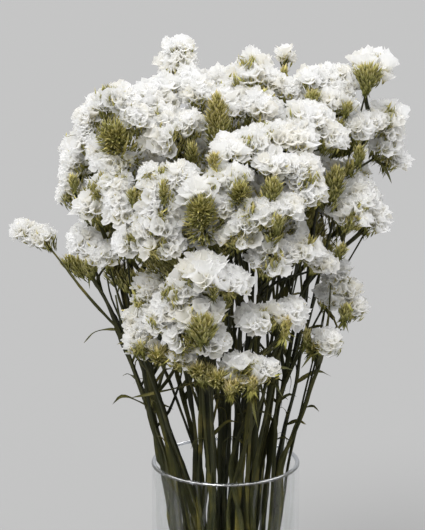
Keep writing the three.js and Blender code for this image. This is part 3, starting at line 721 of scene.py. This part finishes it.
def spray_stems(name, lobes, cones, hub, rng):
    """A spray's stem and branches, in one bundle. Branches leave the stem or one another at
    any height above the vase and fan out to the lobes and the cones."""
    greens = Bundle()
    line = stem_centres(f"stem_{name}", hub[2] - 30 * MM)
    line[0, 2] = STEM_FOOT
    seats = [lobe.centre - lobe.axis * lobe.size[2] * 0.8 for lobe in lobes if not lobe.is_bridge]
    seats += [cone.centre - cone.axis * cone.size[2] * 0.9 for cone in cones]
    nearest, *others = sorted(seats, key=lambda seat: norm(seat - hub))
    halfway = 0.5 * (hub + nearest) + [0, 0, 3 * MM]
    trunk = smooth_route([*line[::3], hub, halfway, nearest], STEM_STEP)
    share = np.linspace(0, 1, len(trunk))
    trunk = trunk + swaying(share, rng)
    foot_radius = rng.uniform(*STEM_FEET) * MM
    radii = foot_radius - (foot_radius - STEM_TIP * MM) * share
    winged_tube(greens, trunk, radii, rng, rng.uniform(0.9, 2.0))
    routes = [trunk]
    for rank, seat in enumerate(others):
        parent, pick = fork_for(seat, routes, rng.uniform(*FORK_ANGLES))
        start = parent[pick]
        onward = parent[min(pick + 6, len(parent) - 1)]
        bend = 0.45 * onward + 0.55 * (0.55 * start + 0.45 * seat) + rng.normal(0, 2 * MM, 3)
        route = smooth_route([start, bend, 0.35 * bend + 0.65 * seat, seat], STEM_STEP)
        routes.append(route)
        radii = np.linspace(*BRANCH_RADII, len(route)) * MM
        winged_tube(greens, route, radii, rng, 0.8, BRANCH_SIDES)
        if rank % 2 == 0:
            curled_leaf(greens, start, unit(seat - start), rng)
    for _ in range(THICKETS.get(name, SIDE_SHOOTS)):
        side_shoot(greens, trunk, seats, rng)
    for _ in range(WISPS):
        wisp(greens, trunk, rng)
    if name in LEAVES:
        leaf_blade(greens, np.array(LEAVES[name]) * MM, LEAF_WIDTH, rng)
    for _ in range(RIM_CURLS):
        curl_on(greens, trunk, rng_curls)
    return greens


def curl_on(greens, trunk, rng):
    """A curl and a short dry leaf on a stem, a little above the vase's mouth."""
    near = np.flatnonzero((trunk[:, 2] > CURLS_LOWEST) & (trunk[:, 2] < CURLS_HIGHEST))
    pick = near[rng.integers(len(near))]
    along = unit(trunk[min(pick + 1, len(trunk) - 1)] - trunk[pick - 1])
    curled_leaf(greens, trunk[pick], along, rng)
    tendril(greens, trunk[pick], along, rng)


def swaying(share, rng):
    """How far a stem sways aside at shares of its length. Its ends stay where they are."""
    aside = unit(rng.normal(0, 1, 3) * [1, 1, 0])
    wave = np.sin(share * rng.uniform(9, 15) + rng.uniform(0, 6)) * np.sin(math.pi * share)
    return wave[:, None] * aside * rng.uniform(0.4, 1) * STEM_SWAY


def inside_glass(points):
    """The points, those in the vase drawn in where they would come near its wall."""
    away = np.maximum(norm(points[:, :2], axis=1) / STEMS_WIDEST, 1)
    away[points[:, 2] > VASE_HEIGHT + 3 * MM] = 1
    return points / np.stack([away, away, np.ones(len(away))], axis=1)


def fork_for(seat, routes, degrees):
    """The route and the point on it where a branch to a seat leaves, to fork off by about an
    angle and not to be long."""
    forks = []
    for route in routes:
        along = unit(np.gradient(route, axis=0))
        gone = seat - route
        angle = np.degrees(np.arccos(np.clip((along * unit(gone)).sum(axis=1), -1, 1)))
        cost = np.abs(angle - degrees) + FORK_SHORTNESS * norm(gone, axis=1)
        cost[route[:, 2] < VASE_HEIGHT + 6 * MM] = np.inf
        forks.append((cost.min(), route, cost.argmin()))
    return min(forks, key=lambda fork: fork[0])[1:]


def twig(greens, bends, thickest, thinnest, rng, wing_height):
    """A thin winged tube through some bends, its radii in millimetres."""
    route = smooth_route(bends, TWIG_STEP)
    radii = np.linspace(thickest, thinnest, len(route)) * MM
    winged_tube(greens, route, radii, rng, wing_height, TWIG_SIDES)


def side_shoot(greens, trunk, seats, rng):
    """A thinner shoot that leaves the stem inside the vase and sways up to one of the
    spray's flowers beside it."""
    first = int(rng.uniform(0.02, 0.3) * len(trunk))
    fork = int(rng.uniform(0.6, 0.8) * len(trunk))
    near = [seat for seat in seats if norm(seat - trunk[-1]) < 45 * MM]
    seat = near[rng.integers(len(near))]
    route = np.array([*trunk[first:fork:6], 0.45 * trunk[fork] + 0.55 * seat, seat])
    share = np.linspace(0, 1, len(route))[:, None]
    aside = unit(rng.normal(0, 1, 3) * [1, 1, 0])
    across = np.array([-aside[1], aside[0], 0])
    swell = np.sin(math.pi * share ** 0.7)
    sway = np.sin(share * rng.uniform(5, 9) + rng.uniform(0, 6)) * swell
    route = route + aside * swell * rng.uniform(3, 13) * MM + across * sway * 5 * MM
    inside = route[:, 2] < VASE_HEIGHT + 4 * MM
    widest = SHOOTS_LOW + (SHOOTS_HIGH - SHOOTS_LOW) * route[:, 2] / VASE_HEIGHT
    out = np.maximum(norm(route[:, :2], axis=1) / widest, 1)
    route[inside, :2] /= out[inside, None]
    twig(greens, route, rng.uniform(0.8, 1.2), 0.25, rng, rng.uniform(0.9, 2.2))
    for index in rng.integers(2, len(route) - 3, 5):
        if route[index, 2] > LEAF_LOWEST:
            along = unit(route[index + 1] - route[index])
            curled_leaf(greens, route[index], along, rng)
            tendril(greens, route[index], along, rng)


def wisp(greens, trunk, rng):
    """A thin dry twig that leaves the stem above the vase and leans in across its neighbours."""
    above = trunk[trunk[:, 2] > LEAF_LOWEST]
    start = above[rng.integers(max(1, 2 * len(above) // 3))]
    inwards = -unit(start * [1, 1, 0])
    lean = unit(0.6 * inwards + rng.normal(0, 1, 3) * [1, 0.6, 0]) * rng.uniform(10, 26) * MM
    rise = np.array([0, 0, rng.uniform(45, 85)]) * MM
    bends = [start, start + 0.45 * lean + 0.25 * rise, start + 0.85 * lean + 0.65 * rise,
             start + lean + rise]
    twig(greens, bends, rng.uniform(0.5, 0.9), 0.3, rng, 1.0)


def curled_leaf(greens, start, towards, rng):
    """A short, curled, dry leaf on a stem or a shoot."""
    length = rng.uniform(10, 24) * MM
    aside = unit(np.cross(towards, rng.normal(0, 1, 3)))
    out = unit(towards * 0.7 + aside * 0.8)
    points = [start, start + out * length * 0.4, start + out * length * 0.8 + [0, 0, -0.1 * length],
              start + out * length + np.array([0, 0, -0.35 * length]) + aside * length * 0.2]
    leaf_blade(greens, points, rng.uniform(1.4, 3.0) * MM, rng)


def tendril(greens, start, along, rng):
    """A thin dry curl that springs from a stem."""
    aside = unit(np.cross(along, rng.normal(0, 1, 3)))
    radius = rng.uniform(4, 9) * MM
    turn = np.linspace(0, rng.uniform(1.6, 3.6), 6)[:, None]
    points = start + aside * radius * (1 - np.cos(turn)) + along * radius * 1.5 * np.sin(turn)
    leaf_blade(greens, points, rng.uniform(0.4, 0.8) * MM, rng)


# ---- materials

def node_material(name):
    """A new material and its empty node tree."""
    material = bpy.data.materials.new(name)
    material.use_nodes = True
    material.node_tree.nodes.clear()
    return material, material.node_tree


def add_node(tree, kind, **values):
    """Adds a node with values for its inputs, underscores standing for spaces."""
    made = tree.nodes.new(kind)
    for name, value in values.items():
        made.inputs[name.replace("_", " ")].default_value = value
    return made


def ramp(tree, source, stops):
    """A colour ramp from (position, linear colour) pairs."""
    made = tree.nodes.new("ShaderNodeValToRGB")
    band = made.color_ramp
    while len(band.elements) < len(stops):
        band.elements.new(0.5)
    for element, (position, colour) in zip(band.elements, stops):
        element.position = position
        element.color = (*colour, 1)
    tree.links.new(source, made.inputs["Fac"])
    return made.outputs["Color"]


def mixed(tree, blend, one, two):
    """A full mix of two colour sockets."""
    made = tree.nodes.new("ShaderNodeMix")
    made.data_type = "RGBA"
    made.blend_type = blend
    made.inputs[0].default_value = 1.0
    tree.links.new(one, made.inputs[6])
    tree.links.new(two, made.inputs[7])
    return made.outputs[2]


def tone_of(tree):
    """The bundle's tone: reach along the shape, the shape's random number, and fold, which on the
    stems marks the wing crests and leaf folds that are painted paler as a highlight.
    """
    tone = tree.nodes.new("ShaderNodeAttribute")
    tone.attribute_name = "tone"
    split = tree.nodes.new("ShaderNodeSeparateColor")
    tree.links.new(tone.outputs["Color"], split.inputs["Color"])
    return split.outputs["Red"], split.outputs["Green"], split.outputs["Blue"]


def speckle(tree, scale):
    coordinates = tree.nodes.new("ShaderNodeTexCoord")
    noise = add_node(tree, "ShaderNodeTexNoise", Scale=scale, Detail=3.0)
    tree.links.new(coordinates.outputs["Object"], noise.inputs["Vector"])
    return noise.outputs["Fac"]


def matt(tree, colour, roughness, specular, grain, strength, depth):
    """A rough shader of a colour, with a bump of a fine grain."""
    bump = add_node(tree, "ShaderNodeBump", Strength=strength, Distance=depth)
    front = add_node(tree, "ShaderNodeBsdfPrincipled", Roughness=roughness,
                     Specular_IOR_Level=specular)
    tree.links.new(speckle(tree, grain), bump.inputs["Height"])
    tree.links.new(bump.outputs["Normal"], front.inputs["Normal"])
    tree.links.new(colour, front.inputs["Base Color"])
    return front


def blended(tree, amount, one, two):
    """A mix of two shaders, by a share or by a socket."""
    made = tree.nodes.new("ShaderNodeMixShader")
    if isinstance(amount, bpy.types.NodeSocket):
        tree.links.new(amount, made.inputs["Fac"])
    else:
        made.inputs["Fac"].default_value = amount
    tree.links.new(one.outputs[0], made.inputs[1])
    tree.links.new(two.outputs[0], made.inputs[2])
    return made


def show(tree, shader):
    out = tree.nodes.new("ShaderNodeOutputMaterial")
    tree.links.new(shader.outputs[0], out.inputs["Surface"])


def calyx_material():
    """Dry papery white, thin enough to let light through, greenish yellow in the throat."""
    material, tree = node_material("calyx_paper")
    reach, own, _ = tone_of(tree)
    along = ramp(tree, reach, [(0.0, (0.42, 0.38, 0.13)), (0.2, (0.74, 0.68, 0.41)),
                               (0.38, (0.94, 0.93, 0.87)), (0.6, (0.97, 0.97, 0.965)),
                               (1.0, (0.98, 0.98, 0.98))])
    dull = ramp(tree, own, [(0.0, (0.95, 0.93, 0.87)), (0.3, (1, 1, 1)), (1.0, (1, 1, 1))])
    colour = mixed(tree, "MULTIPLY", along, dull)
    through = tree.nodes.new("ShaderNodeBsdfTranslucent")
    tree.links.new(colour, through.inputs["Color"])
    paper = matt(tree, colour, 0.75, 0.15, 900, 0.35, 0.2 * MM)
    show(tree, blended(tree, 0.7, paper, through))
    return material


def green_material():
    """Dry bracts, dark olive at the root and tan at the tips; the root is darkened to near black as
    painted shade, deep in the brush.
    """
    material, tree = node_material("dry_olive")
    reach, own, _ = tone_of(tree)
    # Painted shade: the roots, deep in the brush, are near black; olive and tan towards the tips are
    # the bracts' own colour.
    along = ramp(tree, reach, [(0.0, (0.050, 0.052, 0.010)), (0.35, (0.17, 0.17, 0.038)),
                               (0.7, (0.43, 0.41, 0.14)), (1.0, (0.66, 0.61, 0.37))])
    warmth = ramp(tree, own, [(0.0, (0.6, 0.62, 0.5)), (0.35, (1, 1, 1)), (0.6, (1.15, 1.08, 1.0)),
                              (1.0, (1.35, 1.24, 1.35))])
    colour = mixed(tree, "MULTIPLY", along, warmth)
    show(tree, matt(tree, colour, 0.8, 0.25, 1200, 0.5, 0.3 * MM))
    return material


def stem_material():
    """Dry winged stems: dark olive, darkened further as painted shade, with browner stretches, and
    with paler wing crests and leaf folds as a painted highlight.
    """
    material, tree = node_material("dry_stem")
    _, own, painted_highlight_crest = tone_of(tree)
    # The stems' own dark olive, darkened further as painted shade.
    patches = ramp(tree, speckle(tree, 60), [(0.3, (0.012, 0.014, 0.003)),
                                             (0.55, (0.026, 0.027, 0.007)),
                                             (0.75, (0.070, 0.062, 0.017))])
    tint = ramp(tree, own, [(0.0, (0.5, 0.54, 0.5)), (0.6, (1.0, 1.0, 0.9)), (1.0, (2.1, 1.9, 1.4))])
    # Painted highlight: the wings' crests and the leaves' folds are painted paler.
    painted_crest_highlight = ramp(tree, painted_highlight_crest, [(0.0, (1, 1, 1)), (1.0, (1.9, 1.85, 1.6))])
    colour = mixed(tree, "MULTIPLY", mixed(tree, "MULTIPLY", patches, tint), painted_crest_highlight)
    show(tree, matt(tree, colour, 0.7, 0.3, 700, 0.6, 0.4 * MM))
    return material


def glass_material():
    """Clear glass that casts only a faint shadow. The rounded rim bends light fully, and its glass is
    tinted dark blue-grey as painted shade. The wall is thin enough to look through almost
    undisturbed."""
    material, tree = node_material("clear_glass")
    # Painted shade: the rim's glass is tinted dark blue-grey, so that the rim shows dark lines.
    rim = add_node(tree, "ShaderNodeBsdfPrincipled", Base_Color=(0.24, 0.27, 0.32, 1),
                   Roughness=0.0, IOR=1.55, Transmission_Weight=1.0)
    wall = add_node(tree, "ShaderNodeBsdfPrincipled", Base_Color=(0.965, 0.98, 0.98, 1),
                    Roughness=0.0, IOR=1.2, Transmission_Weight=1.0)
    clear = add_node(tree, "ShaderNodeBsdfTransparent", Color=(0.98, 0.984, 0.984, 1))
    gloss = add_node(tree, "ShaderNodeBsdfGlossy", Roughness=0.05)
    path = tree.nodes.new("ShaderNodeLightPath")
    rim_painted_shade, _, _ = tone_of(tree)
    seen = blended(tree, rim_painted_shade, blended(tree, 0.9, wall, clear), blended(tree, 0.15, rim, gloss))
    show(tree, blended(tree, path.outputs["Is Shadow Ray"], seen, clear))
    return material


def floor_material():
    material, tree = node_material("plain_floor")
    matt_grey = add_node(tree, "ShaderNodeBsdfPrincipled", Roughness=0.9, Specular_IOR_Level=0.0,
                         Base_Color=(FLOOR_GREY, FLOOR_GREY, FLOOR_GREY, 1))
    show(tree, matt_grey)
    return material


# ---- the vase

def rounding(radius, height, size, turns):
    """Points of the profile round a centre, from straight below it turning outwards."""
    return [(radius + size * math.sin(turn), height - size * math.cos(turn)) for turn in turns]


def build_vase(material):
    """The glass cylinder: a turned profile with a rounded rim and a thick floor. The rim's
    points have another tone than the rest, where the glass is tinted darker as painted shade."""
    bore = VASE_RADIUS - VASE_WALL
    lip = VASE_WALL / 2
    quarter = np.linspace(0, math.pi / 2, 5)
    over = np.linspace(math.pi / 2, 1.5 * math.pi, 9)
    heights = [z * MM for z in (20, 60, 100, 150)] + [RIM_FOOT]
    profile = rounding(VASE_RADIUS - VASE_FOOT_ROUND, VASE_FOOT_ROUND, VASE_FOOT_ROUND, quarter)
    profile += [(VASE_RADIUS, z) for z in heights]
    profile += rounding(VASE_RADIUS - lip, VASE_HEIGHT - lip, lip, over)
    profile += [(bore, z) for z in reversed(heights)]
    profile += rounding(bore - VASE_FLOOR_ROUND, VASE_FLOOR + VASE_FLOOR_ROUND, VASE_FLOOR_ROUND,
                        reversed(quarter))
    angle = np.arange(VASE_SIDES) / VASE_SIDES * 2 * math.pi
    rings = [np.stack([r * np.cos(angle), r * np.sin(angle), np.full(VASE_SIDES, z)], axis=1)
             for r, z in profile]
    # Marks the rim, whose glass is tinted darker as painted shade.
    rim_painted_shade = np.repeat([1.0 if z > RIM_FOOT else 0.0 for _, z in profile], VASE_SIDES)
    bundle = Bundle()
    bundle.add_tube(np.concatenate(rings), VASE_SIDES, np.stack([rim_painted_shade] * 3, axis=1))
    dress(bundle.to_object("glass_vase", material), "glass", "vase")


# ---- putting it together

def dress(obj, slot, *nodes):
    """obj rides on the part and may stand for CAD nodes. Its slot is not used."""
    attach(obj, "root")
    if nodes:
        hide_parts(*nodes)


def blobs_of(index, name):
    """The heads of a spray, each a list of lobes, its cones, and where it starts to branch."""
    heads, cones = SPRAYS[name]
    middle = np.mean([row[:3] for rows in [*heads, cones] for row in rows], axis=0) * MM
    hub = middle * HUB_DRAW - [0, 0, HUB_DROP]
    if name in HUBS:
        hub = np.array(HUBS[name]) * MM
    upright = ROSETTES.get(name, UPRIGHT)
    return ([with_bridges([blob_of(row, hub, index, UPRIGHT_LOBE, RIM_OVERHANG) for row in head])
             for head in heads],
            [blob_of(row, hub, index, upright) for row in cones], hub)


def dress_lobe(papers, greens, lobe, name, every_lobe, every_cone, rng):
    """Calyxes on a lobe and bracts below them, and the same, hidden, further inside."""
    is_open = name in OPEN_SPRAYS
    near = lobe.neighbours(every_lobe)
    calyx_lobe(papers, greens, lobe, near, every_cone, rng, is_open)
    bract_brush(greens, lobe, LOBE_BRUSH, -0.9, 0.3, near, rng, warmth=TAN)
    inner = lobe.moved(HEART + (lobe.centre - HEART) * INNER_SHARE, 1)
    has_inner = lobe.centre[2] > INNER_LOWEST and name not in CLEAR_BELOW
    if has_inner and is_free(inner.centre[None], every_lobe, 1)[0]:
        bract_brush(greens, inner, LOBE_BRUSH, -0.6, 1.0, near, rng, longest=1.8)
        if lobe.centre[2] > INNER_FLOWERS_LOWEST:
            calyx_lobe(papers, greens, inner, every_lobe, every_cone, rng, is_open,
                       1.5 * CALYX_SPACING)


def build_bunch(paper, olive, stem_look):
    """One object for each head's calyxes, each spray's stem and each spray's bracts."""
    blobs = {name: blobs_of(index, name) for index, name in enumerate(SPRAYS)}
    every_lobe = [lobe for heads, _, _ in blobs.values() for head in heads for lobe in head]
    every_cone = [cone for _, cones, _ in blobs.values() for cone in cones]
    for index, (name, (heads, cones, hub)) in enumerate(blobs.items()):
        rng = np.random.default_rng(4200 + index)
        lobes = [lobe for head in heads for lobe in head]
        stems = spray_stems(name, lobes, cones, hub, rng)
        greens = Bundle()
        for number, head in enumerate(heads, 1):
            papers = Bundle()
            for lobe in head:
                dress_lobe(papers, greens, lobe, name, every_lobe, every_cone, rng)
            suffix = f"_{number}" if len(heads) > 1 else ""
            flowers = papers.to_object(f"calyxes_{name}{suffix}", paper)
            dress(flowers, "calyx", f"blooms_{name}{suffix}")
        for cone in cones:
            cone_bracts(greens, cone, name, every_lobe, rng)
        for row in RAGGED.get(name, []):
            ragged_mass(greens, blob_of(row, hub, index, UPRIGHT_MASS), rng)
        dress(stems.to_object(f"winged_stem_{name}", stem_look), "stem", f"stem_{name}")
        dress(greens.to_object(f"bracts_{name}", olive), "stem")


def build_stage():
    """A plain pale floor, a hair below the vase's foot and wide enough to fill the view."""
    bpy.ops.mesh.primitive_circle_add(vertices=96, radius=12, fill_type="NGON",
                                      location=(0, 0, -0.2 * MM))
    floor = bpy.context.object
    floor.name = "floor"
    floor.data.materials.append(floor_material())


def build_light():
    """Even light from all round, a little brighter from above, with a broad soft key. The
    softbox overhead shows only as a bright line on the glass."""
    world = bpy.data.worlds.new("studio")
    world.use_nodes = True
    tree = world.node_tree
    direction = tree.nodes.new("ShaderNodeTexCoord")
    split = tree.nodes.new("ShaderNodeSeparateXYZ")
    tree.links.new(direction.outputs["Generated"], split.inputs[0])
    sky = ramp(tree, split.outputs["Z"], [(0.0, (0.46, 0.46, 0.47)), (0.35, (0.88, 0.88, 0.88)),
                                          (0.8, (1.22, 1.22, 1.22))])
    softbox = ramp(tree, split.outputs["Z"], [(0.62, (0, 0, 0)), (0.68, (SOFTBOX,) * 3)])
    path = tree.nodes.new("ShaderNodeLightPath")
    shine = mixed(tree, "MULTIPLY", softbox, path.outputs["Is Glossy Ray"])
    tree.links.new(mixed(tree, "ADD", sky, shine), tree.nodes["Background"].inputs["Color"])
    bpy.context.scene.world = world
    data = bpy.data.lights.new("key", "SUN")
    data.energy = KEY_ENERGY
    data.angle = math.radians(KEY_WIDTH)
    key = add_object("key", data)
    key.rotation_euler = [math.radians(turn) for turn in KEY_TURN]


def build_camera():
    """The photograph's view, a little down from above the flowers."""
    data = bpy.data.cameras.new("camera")
    data.lens = LENS
    data.sensor_width = 36
    data.clip_end = 100
    camera = add_object("camera", data)
    camera.location = CAMERA_PLACE
    camera.rotation_euler = (math.radians(90 - CAMERA_DOWN), 0, 0)
    bpy.context.scene.camera = camera
    bpy.context.scene.view_settings.view_transform = "Standard"


build_camera()
build_stage()
build_light()
build_vase(glass_material())
build_bunch(calyx_material(), green_material(), stem_material())
